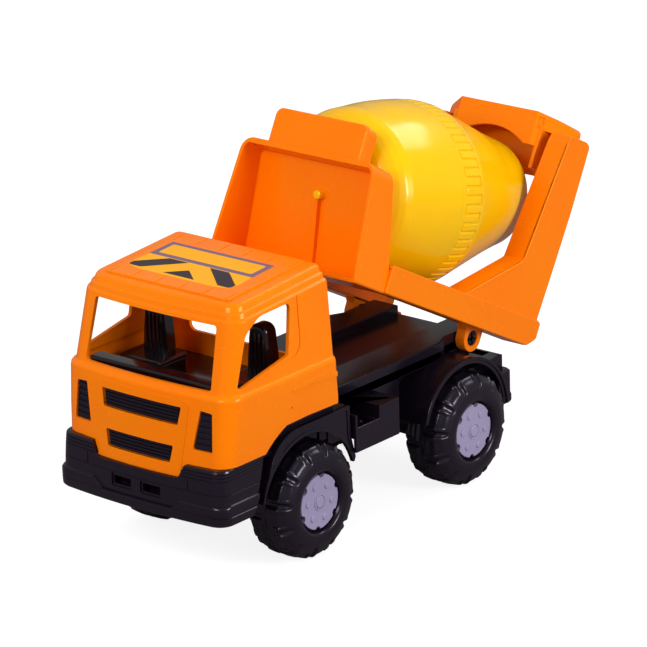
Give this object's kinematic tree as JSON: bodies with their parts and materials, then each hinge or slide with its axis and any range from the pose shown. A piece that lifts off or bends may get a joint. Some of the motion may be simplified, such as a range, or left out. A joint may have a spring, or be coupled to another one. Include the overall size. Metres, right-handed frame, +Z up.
{
  "type": "toy cement mixer truck with tipping mixer body",
  "caption": "Toy cement mixer truck: orange cab, black chassis on wide wheels, and an orange tipping body carrying a turning yellow drum.",
  "frame": {"origin": "on the ground, at the bottom centre of the whole truck as it stands at rest, with its body tipped", "axes": "+Z up, -Y the way the cab faces, +X to the right of a viewer who looks at the front of the cab"},
  "size_m": [0.137, 0.3671, 0.2327],
  "materials": {
    "orange_plastic": "glossy moulded",
    "black_plastic": "glossy moulded",
    "yellow_plastic": "glossy moulded",
    "tyre_plastic": "satin moulded",
    "grey_plastic": "glossy moulded",
    "label_film": "printed film",
    "axle_steel": "drawn",
    "screw_steel": "zinc plated"
  },
  "bodies": {
    "truck": {"chassis": "black_plastic", "cab_shell": "orange_plastic", "cab_interior": "black_plastic", "grille_insert": "black_plastic", "roof_sticker": "label_film", "cab_screws": "screw_steel", "hinge_pins": "black_plastic", "axle_clip_front": "black_plastic", "axle_clip_rear": "black_plastic"},
    "front_wheels": {"front_axle": "axle_steel", "tyre_front_right": "tyre_plastic", "tyre_front_left": "tyre_plastic", "hub_cap_front_right": "grey_plastic", "hub_cap_front_left": "grey_plastic"},
    "rear_wheels": {"rear_axle": "axle_steel", "tyre_rear_right": "tyre_plastic", "tyre_rear_left": "tyre_plastic", "hub_cap_rear_right": "grey_plastic", "hub_cap_rear_left": "grey_plastic"},
    "mixer_body": {"mixer_frame": "orange_plastic"},
    "drum": {"drum_front": "yellow_plastic", "drum_rear": "yellow_plastic"}
  },
  "joints": [
    {"name": "front_axle_spin", "type": "hinge", "parent": "truck", "child": "front_wheels", "pos_m": [0, -0.09785, 0.035], "axis": [1, 0, 0], "continuous": true},
    {"name": "rear_axle_spin", "type": "hinge", "parent": "truck", "child": "rear_wheels", "pos_m": [0, 0.04715, 0.035], "axis": [1, 0, 0], "continuous": true},
    {"name": "body_tip", "type": "hinge", "parent": "truck", "child": "mixer_body", "pos_m": [0, 0.07215, 0.0826], "axis": [-1, 0, 0], "range_deg": [-28, 12]},
    {"name": "drum_spin", "type": "hinge", "parent": "mixer_body", "child": "drum", "pos_m": [0, -0.0146, 0.18784], "axis": [0, 0.9703, -0.2419], "continuous": true}
  ]
}
